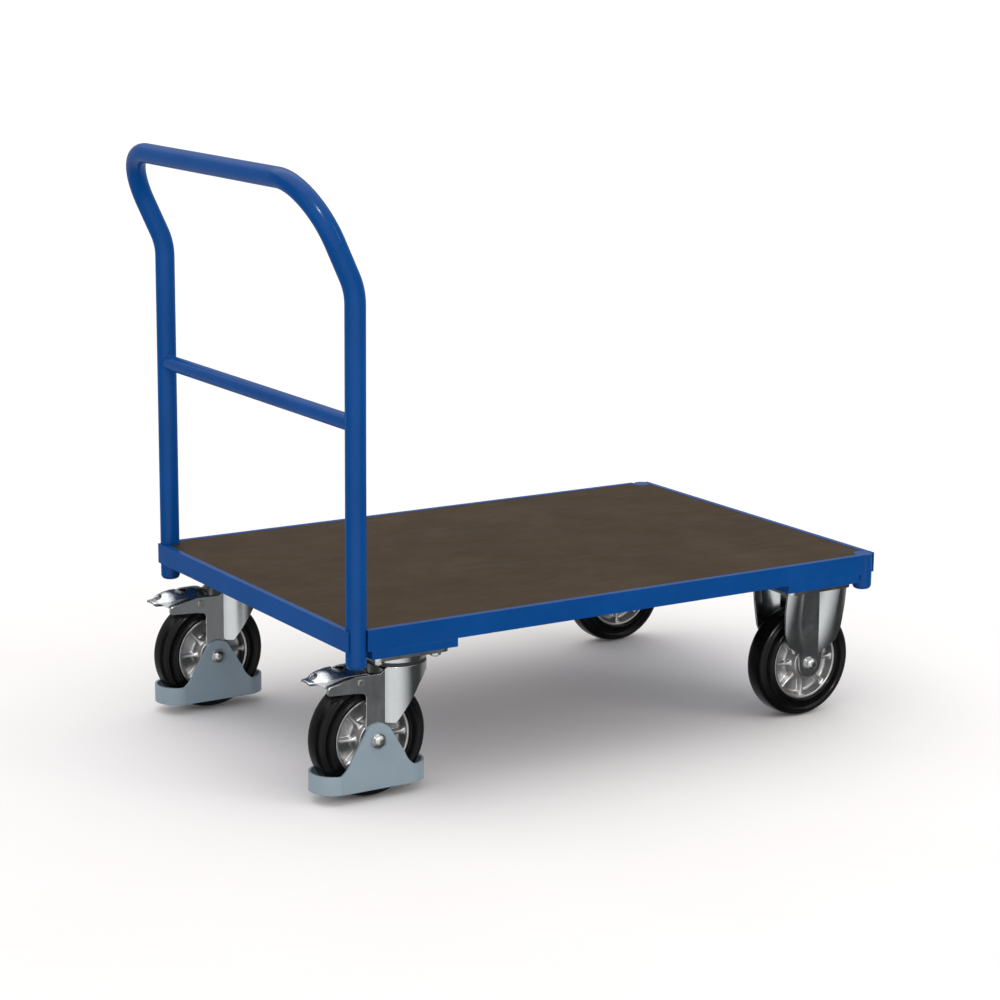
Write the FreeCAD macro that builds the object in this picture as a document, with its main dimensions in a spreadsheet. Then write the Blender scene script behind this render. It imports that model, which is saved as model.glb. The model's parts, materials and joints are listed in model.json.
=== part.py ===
"""Platform cart with a fixed push bar, two braked swivel casters and two fixed casters.

Frame: +X points from the push bar to the front, +Y to the left, +Z up, and the floor is z = 0.
The origin lies on the floor under the middle of the whole cart's bounding box.
Every length is in millimetres and every driving dimension is a cell of the sheet "Dims".
"""
import FreeCAD, Part
import math
import os

import Sketcher

DIMS = [
    # platform frame
    ("deck_length", 1070.0), ("deck_width", 715.0), ("deck_height", 294.0), ("board_thick", 15.0),
    ("rail_height", 35.0), ("rail_web", 3.0), ("rail_lip", 10.0), ("ledge_width", 22.0),
    ("end_rail_setback", 9.0), ("tube_radius", 16.85), ("tube_wall", 2.5), ("tube_foot_z", 236.0),
    ("board_gap", 1.0), ("screw_radius", 2.4), ("screw_spread", 192.0),
    ("plug_dome", 6.5), ("plug_depth", 14.0), ("cap_edge", 1.5), ("brace_width", 40.0),
    # push bar
    ("bar_top_z", 998.0), ("bar_bend_z", 831.0), ("bar_lean", 25.0), ("bar_bend_radius", 100.0),
    ("bar_corner_radius", 102.0), ("crossbar_radius", 13.45), ("crossbar_wall", 2.0),
    ("crossbar_z", 622.0),
    # caster bearers
    ("mount_z", 245.0), ("bearer_width", 158.0), ("bearer_wall", 4.0), ("caster_inset_x", 119.0),
    ("caster_inset_y", 68.0), ("pin_clear_radius", 18.0),
    # caster plates and their bolts
    ("plate_length", 140.0), ("plate_width", 120.0), ("plate_thick", 8.0), ("plate_corner", 12.0),
    ("hole_pitch_x", 105.0), ("hole_pitch_y", 80.0), ("bolt_radius", 5.0), ("bolt_hole_radius", 5.5),
    ("bolt_head_high", 6.4), ("bolt_across", 17.0), ("bolt_end_z", 226.5), ("nut_high", 8.0),
    # wheels
    ("wheel_radius", 100.0), ("wheel_width", 50.0), ("rim_radius", 67.5), ("rim_inside", 62.5),
    ("rim_width", 44.0), ("hub_radius", 30.0), ("hub_width", 60.0), ("web_thick", 7.0),
    ("rib_count", 8.0), ("rib_thick", 6.0), ("rib_high", 17.0), ("shoulder_radius", 12.0),
    ("bearing_radius", 23.5), ("bearing_width", 14.0), ("bearing_bore", 10.03), ("shield_drop", 0.8),
    # axles
    ("axle_radius", 6.0), ("axle_hole_radius", 6.05), ("sleeve_radius", 10.0), ("leg_inside", 32.0),
    ("leg_thick", 4.0), ("axle_across", 19.0), ("axle_head_high", 8.5), ("axle_washer_radius", 12.5),
    ("axle_washer_high", 2.0), ("axle_tail", 3.0),
    # swivel caster
    ("trail", 52.0), ("drum_radius", 52.0), ("crown_top_z", 220.0), ("crown_thick", 5.0),
    ("ring_bottom_z", 226.0), ("ring_radius", 51.5), ("ring_inside", 20.0), ("kingpin_radius", 10.0),
    ("kingpin_hole_radius", 10.05), ("kingpin_head_radius", 15.0), ("kingpin_head_high", 7.0),
    ("kingpin_nut_across", 30.0), ("kingpin_nut_high", 9.0), ("ball_radius", 2.9), ("ball_ring", 38.0),
    ("ball_count", 32.0), ("seal_inside", 44.0), ("seal_high", 5.7), ("leg_end_radius", 20.0),
    # brake
    ("brake_pin_x", -81.0), ("brake_pin_z", 199.0), ("brake_pin_radius", 4.0), ("pedal_half", 27.0),
    ("pedal_sheet", 3.0), ("pedal_top_z", 223.0), ("pedal_arch_radius", 34.0), ("pedal_tip_x", -164.0),
    ("shoe_gap", 5.8), ("shoe_half", 16.0), ("pin_head_radius", 6.0), ("pin_head_high", 2.0),
    # foot guard
    ("guard_thick", 4.0), ("guard_reach", 101.5), ("guard_bottom_z", 19.0), ("guard_band_z", 50.0),
    ("guard_crown_radius", 27.0), ("guard_fillet", 42.0),
    # fixed caster fork
    ("fixed_flare_x", 66.0), ("fixed_flare_y", 57.0), ("fixed_crest_x", 46.0), ("fixed_groove", 17.5), ("fixed_end_radius", 24.0),
    ("fixed_blend_z", 116.0),
]

doc = FreeCAD.newDocument("platform_cart")
sheet = doc.addObject("Spreadsheet::Sheet", "Dims")
for row, (alias, number) in enumerate(DIMS, start=1):
    sheet.set(f"A{row}", alias)
    sheet.set(f"B{row}", str(number))
    sheet.setAlias(f"B{row}", alias)
doc.recompute()

ALIASES = [alias for alias, number in DIMS]
# which way an arc bulges on the way round a counterclockwise outline
OUT = -1
IN = 1
V = FreeCAD.Vector
parts = []


def dim(alias):
    """The number that a cell holds."""
    return float(sheet.get(alias))


def formula(text):
    """Spell every alias of the text as a reference to its cell."""
    words = []
    word = ""
    for char in text + " ":
        if char.isalnum() or char in "_.":
            word += char
            continue
        words.append("Dims." + word if word in ALIASES else word)
        words.append(char)
        word = ""
    return "".join(words).strip()


def number(text):
    """The value of a formula over the cells."""
    value = sheet.evalExpression(formula(text))
    return float(getattr(value, "Value", value))


def place(obj, x="0", y="0", z="0"):
    """Bind the position of an object to formulas over the cells."""
    for axis, text in zip("xyz", (x, y, z)):
        obj.setExpression(f"Placement.Base.{axis}", formula(text))
    return obj


def box(name, length, width, height, x="0", y="0", z="0"):
    """A box bound to the cells, with x, y, z at its lowest corner."""
    obj = doc.addObject("Part::Box", name)
    obj.setExpression("Length", formula(length))
    obj.setExpression("Width", formula(width))
    obj.setExpression("Height", formula(height))
    return place(obj, x, y, z)


def cylinder(name, radius, height, x="0", y="0", z="0", along="z"):
    """A cylinder bound to the cells, from its base centre along +Z or +Y."""
    obj = doc.addObject("Part::Cylinder", name)
    if along == "y":
        obj.Placement = FreeCAD.Placement(V(), FreeCAD.Rotation(V(1, 0, 0), -90))
    obj.setExpression("Radius", formula(radius))
    obj.setExpression("Height", formula(height))
    return place(obj, x, y, z)


def cut(name, base, tools):
    """The base without the tools."""
    tool = tools[0]
    if len(tools) > 1:
        tool = fuse(name + "_tools", tools)
    obj = doc.addObject("Part::Cut", name)
    obj.Base = base
    obj.Tool = tool
    return obj


def fuse(name, shapes):
    """One solid, or one group of solids, of all the shapes."""
    obj = doc.addObject("Part::MultiFuse", name)
    obj.Shapes = shapes
    return obj


def common(name, base, tool):
    """What two shapes share."""
    obj = doc.addObject("Part::Common", name)
    obj.Base = base
    obj.Tool = tool
    return obj


def origin_plane(body, role):
    """The origin plane of a body by its role."""
    return next(item for item in body.Origin.OriginFeatures if item.Role == role)


def minor_arc(start, end, radius, side):
    """The minor arc between two points, bulging OUT or IN on the way round an outline."""
    chord = end - start
    half = chord.Length / 2
    drop = math.sqrt(max(radius * radius - half * half, 0.0))
    left = V(-chord.y, chord.x, 0).normalize()
    centre = (start + end) * 0.5 - left * (drop * side)
    first, last = (start, end) if side == OUT else (end, start)
    begin = math.atan2(first.y - centre.y, first.x - centre.x)
    finish = math.atan2(last.y - centre.y, last.x - centre.x)
    if finish < begin:
        finish += 2 * math.pi
    return Part.ArcOfCircle(Part.Circle(centre, V(0, 0, 1), radius), begin, finish)


def outline(sketch, corners):
    """Draw a closed outline whose corners are bound to the cells.

    The corners run counterclockwise. A corner is (x, y) when a line leaves it and
    (x, y, radius, side) when an arc leaves it.
    """
    points = [V(number(corner[0]), number(corner[1]), 0) for corner in corners]
    first = sketch.GeometryCount
    # a sketch counts an arc's ends counterclockwise, so an arc bulging left runs from 2 to 1
    ends = []
    for index, corner in enumerate(corners):
        start = points[index]
        end = points[(index + 1) % len(points)]
        if len(corner) == 2:
            sketch.addGeometry(Part.LineSegment(start, end), False)
            ends.append((1, 2))
        else:
            sketch.addGeometry(minor_arc(start, end, number(corner[2]), corner[3]), False)
            ends.append((1, 2) if corner[3] == OUT else (2, 1))
    for index, corner in enumerate(corners):
        geometry = first + index
        following = first + (index + 1) % len(corners)
        tail = ends[index][1]
        head = ends[(index + 1) % len(corners)][0]
        sketch.addConstraint(Sketcher.Constraint("Coincident", geometry, tail, following, head))
        point = points[index]
        for kind, value, text, axis in (("DistanceX", point.x, corner[0], -2),
                                        ("DistanceY", point.y, corner[1], -1)):
            if abs(value) < 1e-9:
                sketch.addConstraint(
                    Sketcher.Constraint("PointOnObject", geometry, ends[index][0], axis))
                continue
            mark = sketch.addConstraint(
                Sketcher.Constraint(kind, -1, 1, geometry, ends[index][0], value))
            sketch.setExpression(f"Constraints[{mark}]", formula(text))
        if len(corner) > 2:
            mark = sketch.addConstraint(
                Sketcher.Constraint("Radius", geometry, number(corner[2])))
            sketch.setExpression(f"Constraints[{mark}]", formula(corner[2]))


def circle(sketch, x, y, radius):
    """Draw a circle bound to the cells."""
    centre = V(number(x), number(y), 0)
    geometry = sketch.addGeometry(Part.Circle(centre, V(0, 0, 1), number(radius)), False)
    mark = sketch.addConstraint(Sketcher.Constraint("Radius", geometry, number(radius)))
    sketch.setExpression(f"Constraints[{mark}]", formula(radius))
    for kind, value, text, axis in (("DistanceX", centre.x, x, -2), ("DistanceY", centre.y, y, -1)):
        if abs(value) < 1e-9:
            sketch.addConstraint(Sketcher.Constraint("PointOnObject", geometry, 3, axis))
            continue
        mark = sketch.addConstraint(Sketcher.Constraint(kind, -1, 1, geometry, 3, value))
        sketch.setExpression(f"Constraints[{mark}]", formula(text))


def new_body(name):
    """An empty PartDesign body."""
    return doc.addObject("PartDesign::Body", name)


def new_sketch(body, role, name, offset="0"):
    """A sketch on an origin plane of a body, moved along the plane's normal."""
    sketch = body.newObject("Sketcher::SketchObject", name)
    sketch.AttachmentSupport = [(origin_plane(body, role), "")]
    sketch.MapMode = "FlatFace"
    sketch.setExpression("AttachmentOffset.Base.z", formula(offset))
    return sketch


def pad(body, sketch, length, name, middle=False):
    """Pad a sketch along its normal, or half to each side."""
    feature = body.newObject("PartDesign::Pad", name)
    feature.Profile = sketch
    feature.Midplane = middle
    feature.setExpression("Length", formula(length))
    body.Tip = feature
    return feature


def revolve(body, sketch, name):
    """Turn a sketch once round its vertical axis."""
    feature = body.newObject("PartDesign::Revolution", name)
    feature.Profile = sketch
    feature.ReferenceAxis = (sketch, ["V_Axis"])
    feature.Angle = 360.0
    body.Tip = feature
    return feature


def turned(name, corners, role="XY_Plane"):
    """A body of revolution: about Y from the XY plane, about Z from the XZ plane."""
    body = new_body(name)
    sketch = new_sketch(body, role, name + "_section")
    outline(sketch, corners)
    revolve(body, sketch, name + "_turn")
    return body


def prism(name, corners, length, role="XZ_Plane", offset="0", middle=True, holes=()):
    """A body padded from one outline, with round holes right through it."""
    body = new_body(name)
    sketch = new_sketch(body, role, name + "_outline", offset)
    outline(sketch, corners)
    for x, y, radius in holes:
        circle(sketch, x, y, radius)
    pad(body, sketch, length, name + "_pad", middle)
    return body


def group(name, master, places):
    """Copies of one solid at several places, as one node of separate solids."""
    doc.recompute()
    obj = doc.addObject("Part::Feature", name)
    copies = []
    for placement in places:
        copy = master.Shape.copy()
        copy.Placement = placement.multiply(copy.Placement)
        copies.append(copy)
    obj.Shape = Part.makeCompound(copies)
    return obj


def shift(x, y, z):
    """A plain move."""
    return FreeCAD.Placement(V(x, y, z), FreeCAD.Rotation())


def node(obj, label):
    """Name an object as a finished sub-part."""
    obj.Label = label
    parts.append(obj)
    return obj


def clone(master, label, x, y, z=0.0):
    """A finished sub-part that follows a master at another place."""
    body = new_body(label)
    base = body.newObject("PartDesign::FeatureBase", label + "_base")
    base.BaseFeature = master
    body.Tip = base
    body.Placement = shift(x, y, z)
    return node(body, label)


# Derived places ---------------------------------------------------------------------------------

LEAN = math.radians(dim("bar_lean"))
BAR_REACH = (dim("bar_top_z") - dim("bar_bend_z")) * math.tan(LEAN)
# the push bar's outermost line lies this far beyond the platform, and the origin halves it
OVERHANG = BAR_REACH - dim("rail_web")
SHIFT_X = OVERHANG / 2
TUBE_INSET = dim("rail_web") + dim("tube_radius")
POST_X = SHIFT_X - dim("deck_length") / 2 + TUBE_INSET
STUB_X = SHIFT_X + dim("deck_length") / 2 - TUBE_INSET
TUBE_Y = dim("deck_width") / 2 - dim("tube_radius")
REAR_X = SHIFT_X - dim("deck_length") / 2 + dim("caster_inset_x")
FRONT_X = SHIFT_X + dim("deck_length") / 2 - dim("caster_inset_x")
CASTER_Y = dim("deck_width") / 2 - dim("caster_inset_y")
SCREW_Y = dim("deck_width") / 2 - dim("rail_lip") - dim("ledge_width") / 2
SCREW_Z = dim("deck_height") - dim("board_thick") - dim("rail_web")
SCREWS = [(SHIFT_X + x, y) for x in (-dim("screw_spread"), dim("screw_spread"))
          for y in (-SCREW_Y, SCREW_Y)]
CORNERS = [(x, side * TUBE_Y) for x in (POST_X, STUB_X) for side in (-1, 1)]
SIDES = (("right", -1), ("left", 1))
CASTERS = [("rear", side, REAR_X, sign) for side, sign in SIDES]
CASTERS += [("front", side, FRONT_X, sign) for side, sign in SIDES]


# Platform frame ---------------------------------------------------------------------------------

def corner_cutters(name, extra):
    """Four upright cylinders at the corner tubes, wider by extra."""
    tools = []
    for index, (x, y) in enumerate(CORNERS):
        tools.append(cylinder(f"{name}_cope{index}", f"tube_radius + {extra}", "deck_height * 2",
                              f"{x}", f"{y}"))
    return fuse(f"{name}_copes", tools)


def screw_cutters(name):
    """Four blind holes for the screws that hold the board to the side rails."""
    return fuse(f"{name}_screw_holes", [
        cylinder(f"{name}_screw{index}", "screw_radius + 0.05", "13.5", f"{x}", f"{y}", f"{SCREW_Z} - 1")
        for index, (x, y) in enumerate(SCREWS)])


def rail_section():
    """The rolled edge section: web, top lip and the ledge that carries the board, outer face at 0."""
    ledge_end = "rail_lip + ledge_width"
    seat_z = "deck_height - board_thick"
    return [
        ("0", "deck_height - rail_height"), ("rail_web", "deck_height - rail_height"),
        ("rail_web", "deck_height - rail_web"), ("rail_lip - rail_web", "deck_height - rail_web"),
        ("rail_lip - rail_web", f"{seat_z} - rail_web"), (ledge_end, f"{seat_z} - rail_web"),
        (ledge_end, seat_z), ("rail_lip", seat_z), ("rail_lip", "deck_height"), ("0", "deck_height"),
    ]


def make_rail(label, length, x, y, turn):
    """One rail of the edge frame, coped where it meets the corner tubes."""
    blank = prism(label + "_blank", rail_section(), length)
    blank.Placement = FreeCAD.Placement(V(x, y, 0), FreeCAD.Rotation(V(0, 0, 1), turn))
    node(cut(label, blank, [corner_cutters(label, "0"), screw_cutters(label)]), label)


def make_rails():
    """Side rails between the corner tubes, and end rails that lap over them outside."""
    side_length = "deck_length - 2 * (rail_lip + ledge_width) - 1"
    end_length = "deck_width - 2 * end_rail_setback"
    half_x = dim("deck_length") / 2
    half_y = dim("deck_width") / 2
    make_rail("side_rail_right", side_length, SHIFT_X, -half_y, 90)
    make_rail("side_rail_left", side_length, SHIFT_X, half_y, -90)
    make_rail("end_rail_rear", end_length, SHIFT_X - half_x, 0, 0)
    make_rail("end_rail_front", end_length, SHIFT_X + half_x, 0, 180)


def make_deck_board():
    """The film-faced board, inside the rails' lips and notched round the corner tubes."""
    blank = box("deck_blank", "deck_length - 2 * (rail_lip + board_gap)",
                "deck_width - 2 * (rail_lip + board_gap)", "board_thick - 0.5",
                f"{SHIFT_X} - deck_length / 2 + rail_lip + board_gap",
                "rail_lip + board_gap - deck_width / 2", "deck_height - board_thick")
    tools = [corner_cutters("deck", "board_gap"), screw_cutters("deck")]
    node(cut("deck_board", blank, tools), "deck_board")


def make_bearer(label, x, pin_holes):
    """A folded tray across the cart that the casters bolt to, open at the top."""
    left = f"{x} - bearer_width / 2"
    ledge_z = "deck_height - board_thick - rail_web"
    steps = [
        ("foot", "deck_width", "deck_height - rail_height"),
        ("waist", "deck_width - 2 * rail_web - 1", ledge_z),
        ("seat", "deck_width - 2 * (rail_lip + ledge_width) - 2", "deck_height - board_thick"),
    ]
    blocks = [box(f"{label}_{step}", "bearer_width", width, f"{top} - mount_z", left,
                  f"-({width}) / 2", "mount_z") for step, width, top in steps]
    cavity = box(label + "_cavity", "bearer_width - 2 * bearer_wall", "deck_width - 2 * bearer_wall - 7",
                 "deck_height - mount_z", f"{left} + bearer_wall", "bearer_wall + 3.5 - deck_width / 2",
                 "mount_z + bearer_wall")
    tools = [cavity]
    for side, sign in SIDES:
        middle = f"{sign} * (deck_width / 2 - caster_inset_y)"
        for ix in (-1, 1):
            for iy in (-1, 1):
                tools.append(cylinder(
                    f"{label}_{side}_hole{ix + 1}{iy + 1}", "bolt_hole_radius", "bearer_wall * 3",
                    f"{x} + {ix} * hole_pitch_x / 2", f"{middle} + {iy} * hole_pitch_y / 2",
                    "mount_z - bearer_wall"))
        if pin_holes:
            tools.append(cylinder(f"{label}_{side}_pin_hole", "pin_clear_radius", "bearer_wall * 3",
                                  f"{x}", middle, "mount_z - bearer_wall"))
    node(cut(label, fuse(label + "_blank", blocks), tools), label)


def make_deck_brace():
    """A channel under the middle of the board, between the side rails."""
    high = "rail_height - board_thick - rail_web"
    outer = box("brace_outer", "brace_width", "deck_width - 2 * rail_web - 1", high,
                f"{SHIFT_X} - brace_width / 2", "rail_web + 0.5 - deck_width / 2",
                "deck_height - rail_height")
    seat = box("brace_seat", "brace_width", "deck_width - 2 * (rail_lip + ledge_width) - 2",
               "rail_height - board_thick", f"{SHIFT_X} - brace_width / 2",
               "rail_lip + ledge_width + 1 - deck_width / 2", "deck_height - rail_height")
    inner = box("brace_inner", "brace_width - 2 * bearer_wall", "deck_width", high,
                f"{SHIFT_X} - brace_width / 2 + bearer_wall", "-deck_width / 2",
                "deck_height - rail_height - bearer_wall")
    node(cut("deck_brace", fuse("brace_blank", [outer, seat]), [inner]), "deck_brace")


def make_corner_tubes():
    """The two short tubes that close the front corners."""
    for side, sign in SIDES:
        label = f"corner_tube_front_{side}"
        high = "deck_height - tube_foot_z - cap_edge"
        outer = cylinder(label + "_outer", "tube_radius", high, f"{STUB_X}", f"{sign * TUBE_Y}",
                         "tube_foot_z")
        inner = cylinder(label + "_inner", "tube_radius - tube_wall", high, f"{STUB_X}",
                         f"{sign * TUBE_Y}", "tube_foot_z")
        node(cut(label, outer, [inner]), label)


def make_tube_plugs():
    """Domed plugs in the four tube feet and flat caps on the two front tubes."""
    plug = turned("plug_master", [
        ("0", "plug_depth"), ("0", "-plug_dome"),
        ("tube_radius - 0.6 - plug_dome", "-plug_dome", "plug_dome", OUT),
        ("tube_radius - 0.6", "0"), ("tube_radius - tube_wall", "0"),
        ("tube_radius - tube_wall", "plug_depth")], "XZ_Plane")
    foot_z = dim("tube_foot_z")
    feet = [shift(x, y, foot_z) for x, y in CORNERS]
    node(group("tube_foot_plugs", plug, feet), "tube_foot_plugs")
    cap = turned("cap_master", [
        ("0", "-plug_depth"), ("0", "cap_edge"), ("tube_radius - cap_edge", "cap_edge"),
        ("tube_radius - 0.2", "cap_edge / 2"), ("tube_radius - 0.2", "0"),
        ("tube_radius - tube_wall", "0"), ("tube_radius - tube_wall", "-plug_depth")], "XZ_Plane")
    top_z = dim("deck_height") - dim("cap_edge")
    tops = [shift(STUB_X, sign * TUBE_Y, top_z) for side, sign in SIDES]
    node(group("front_tube_caps", cap, tops), "front_tube_caps")


def make_deck_screws():
    """Pan-head screws up through the side rails' ledges into the board."""
    screw = turned("screw_master", [
        ("0", "-3"), ("3.5", "-3"), ("5", "-1.5"), ("5", "0"), ("screw_radius", "0"),
        ("screw_radius", "9"), ("1", "12"), ("0", "12")], "XZ_Plane")
    places = [shift(x, y, SCREW_Z) for x, y in SCREWS]
    node(group("deck_screws", screw, places), "deck_screws")


# Push bar ---------------------------------------------------------------------------------------

def push_bar_path():
    """Foot to foot: up a post, out along the lean, round a corner, across and back down."""
    radius = dim("bar_bend_radius")
    corner = dim("bar_corner_radius")
    lead = radius * math.tan(LEAN / 2)
    up = V(-math.sin(LEAN), 0, math.cos(LEAN))
    slope = (dim("bar_top_z") - dim("bar_bend_z")) / math.cos(LEAN)
    edges = []
    foot = V(POST_X, -TUBE_Y, dim("tube_foot_z"))
    knee = V(POST_X, -TUBE_Y, dim("bar_bend_z"))
    bend_start = knee - V(0, 0, lead)
    bend_end = knee + up * lead
    half = LEAN / 2
    bend_middle = V(POST_X - radius * (1 - math.cos(half)), -TUBE_Y,
                    bend_start.z + radius * math.sin(half))
    corner_start = knee + up * (slope - corner)
    corner_end = knee + up * slope + V(0, corner, 0)
    centre = corner_start + V(0, corner, 0)
    diagonal = (corner_start + corner_end) * 0.5 - centre
    corner_middle = centre + diagonal.normalize() * corner
    edges.append(Part.LineSegment(foot, bend_start).toShape())
    edges.append(Part.Arc(bend_start, bend_middle, bend_end).toShape())
    edges.append(Part.LineSegment(bend_end, corner_start).toShape())
    edges.append(Part.Arc(corner_start, corner_middle, corner_end).toShape())
    flip = FreeCAD.Matrix()
    flip.A22 = -1
    far = [edge.transformGeometry(flip) for edge in edges]
    across = Part.LineSegment(corner_end, V(corner_end.x, -corner_end.y, corner_end.z)).toShape()
    return Part.Wire(edges + [across] + list(reversed(far)))


def swept_round(name, radius, path):
    """A round bar bound to the cells along the push bar's path."""
    rim = doc.addObject("Part::Circle", name + "_rim")
    rim.setExpression("Radius", formula(radius))
    place(rim, f"{POST_X}", f"{-TUBE_Y}", "tube_foot_z")
    bar = doc.addObject("Part::Sweep", name)
    bar.Sections = [rim]
    bar.Spine = (path, [f"Edge{index + 1}" for index in range(len(path.Shape.Edges))])
    bar.Solid = True
    bar.Frenet = False
    return bar


def make_push_bar():
    """The bent push bar tube and the crossbar coped between its posts."""
    path = doc.addObject("Part::Feature", "push_bar_path")
    path.Shape = push_bar_path()
    outer = swept_round("push_bar_outside", "tube_radius", path)
    inner = swept_round("push_bar_inside", "tube_radius - tube_wall", path)
    node(cut("push_bar", outer, [inner]), "push_bar")
    span = 2 * TUBE_Y
    rod = cylinder("crossbar_outer", "crossbar_radius", f"{span}", f"{POST_X}", f"{-TUBE_Y}",
                   "crossbar_z", "y")
    bore = cylinder("crossbar_bore", "crossbar_radius - crossbar_wall", f"{span}", f"{POST_X}",
                    f"{-TUBE_Y}", "crossbar_z", "y")
    tools = [bore]
    for side, sign in SIDES:
        tools.append(cylinder(f"crossbar_cope_{side}", "tube_radius", "crossbar_z", f"{POST_X}",
                              f"{sign * TUBE_Y}", "crossbar_z / 2"))
    node(cut("push_bar_crossbar", rod, tools), "push_bar_crossbar")


# Caster hardware --------------------------------------------------------------------------------

def hexagon(across):
    """The six corners of a nut, flats across the sketch's X."""
    flat = f"({across}) / 2"
    corner = f"({across}) / 2 / cos(30)"
    half = f"({across}) / 2 * tan(30)"
    return [(flat, half), ("0", corner), (f"-{flat}", half), (f"-{flat}", f"-{half}"),
            ("0", f"-{corner}"), (flat, f"-{half}")]


def make_mount_bolts():
    """Sixteen bolts, heads in the bearers, and their sixteen nuts under the caster plates."""
    body = prism("mount_bolt_master", hexagon("bolt_across"), "bolt_head_high", "XY_Plane",
                 "mount_z + bearer_wall", False)
    shank = new_sketch(body, "XY_Plane", "mount_bolt_shank", "bolt_end_z")
    circle(shank, "0", "0", "bolt_radius")
    pad(body, shank, "mount_z + bearer_wall - bolt_end_z + 0.01", "mount_bolt_shank_pad")
    nut = prism("mount_nut_master", hexagon("bolt_across"), "nut_high", "XY_Plane",
                "mount_z - plate_thick - nut_high", False, [("0", "0", "bolt_radius")])
    places = []
    for end, side, x, sign in CASTERS:
        for ix in (-1, 1):
            for iy in (-1, 1):
                places.append(shift(x + ix * dim("hole_pitch_x") / 2,
                                    sign * CASTER_Y + iy * dim("hole_pitch_y") / 2, 0))
    node(group("caster_mount_bolts", body, places), "caster_mount_bolts")
    node(group("caster_mount_nuts", nut, places), "caster_mount_nuts")


def plate_outline():
    """A caster plate: a rectangle with rounded corners round the caster's middle."""
    end = "plate_length / 2"
    side = "plate_width / 2"
    short_end = f"{end} - plate_corner"
    short_side = f"{side} - plate_corner"
    return [
        (f"-({short_end})", f"-{side}"), (short_end, f"-{side}", "plate_corner", OUT),
        (end, f"-({short_side})"), (end, short_side, "plate_corner", OUT), (short_end, side),
        (f"-({short_end})", side, "plate_corner", OUT), (f"-{end}", short_side),
        (f"-{end}", f"-({short_side})", "plate_corner", OUT),
    ]


def plate_holes():
    """The four bolt holes of a caster plate."""
    return [(f"{ix} * hole_pitch_x / 2", f"{iy} * hole_pitch_y / 2", "bolt_hole_radius")
            for ix in (-1, 1) for iy in (-1, 1)]


def wheel_masters():
    """Rim, tyre and bearing, each about the Y axis with its middle at the origin."""
    half = "wheel_width / 2"
    flat = f"{half} - shoulder_radius"
    tyre = turned("tyre_master", [
        ("rim_radius", "-rim_width / 2"), ("rim_radius + 8", f"-{half}"),
        ("wheel_radius - shoulder_radius", f"-{half}", "shoulder_radius", OUT),
        ("wheel_radius", f"-({flat})"), ("wheel_radius", flat, "shoulder_radius", OUT),
        ("wheel_radius - shoulder_radius", half), ("rim_radius + 8", half),
        ("rim_radius", "rim_width / 2")])
    rim = turned("rim_blank", [
        ("bearing_radius", "hub_width / 2"), ("bearing_radius", "hub_width / 2 - bearing_width"),
        ("bearing_radius - 3", "hub_width / 2 - bearing_width"),
        ("bearing_radius - 3", "bearing_width - hub_width / 2"),
        ("bearing_radius", "bearing_width - hub_width / 2"), ("bearing_radius", "-hub_width / 2"),
        ("hub_radius - 1", "-hub_width / 2"), ("hub_radius + 1", "-web_thick / 2 - 2"),
        ("hub_radius + 3", "-web_thick / 2"), ("rim_inside - 3", "-web_thick / 2"),
        ("rim_inside - 1", "-web_thick / 2 - 2"), ("rim_inside + 1", "-rim_width / 2"),
        ("rim_radius", "-rim_width / 2"), ("rim_radius", "rim_width / 2"),
        ("rim_inside + 1", "rim_width / 2"), ("rim_inside - 1", "web_thick / 2 + 2"),
        ("rim_inside - 3", "web_thick / 2"), ("hub_radius + 3", "web_thick / 2"),
        ("hub_radius + 1", "web_thick / 2 + 2"), ("hub_radius - 1", "hub_width / 2")])
    rib_sketch = new_sketch(rim, "XY_Plane", "rib_outline")
    outline(rib_sketch, [
        ("hub_radius - 2", "-rib_high - 4"), ("rim_inside + 2", "-rib_high"),
        ("rim_inside + 2", "rib_high"), ("hub_radius - 2", "rib_high + 4")])
    rib = pad(rim, rib_sketch, "rib_thick", "rib_pad", True)
    doc.recompute()
    ring = rim.newObject("PartDesign::PolarPattern", "rib_ring")
    ring.Originals = [rib]
    ring.Axis = (rib_sketch, ["V_Axis"])
    ring.Angle = 360.0
    ring.Occurrences = int(dim("rib_count"))
    rim.Tip = ring
    bearing = turned("bearing_master", [
        ("bearing_bore", "-bearing_width / 2"), ("bearing_bore + 4", "-bearing_width / 2"),
        ("bearing_bore + 4", "shield_drop - bearing_width / 2"),
        ("bearing_radius - 3", "shield_drop - bearing_width / 2"),
        ("bearing_radius - 3", "-bearing_width / 2"), ("bearing_radius", "-bearing_width / 2"),
        ("bearing_radius", "bearing_width / 2"), ("bearing_radius - 3", "bearing_width / 2"),
        ("bearing_radius - 3", "bearing_width / 2 - shield_drop"),
        ("bearing_bore + 4", "bearing_width / 2 - shield_drop"),
        ("bearing_bore + 4", "bearing_width / 2"), ("bearing_bore", "bearing_width / 2")])
    return tyre, rim, bearing


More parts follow.
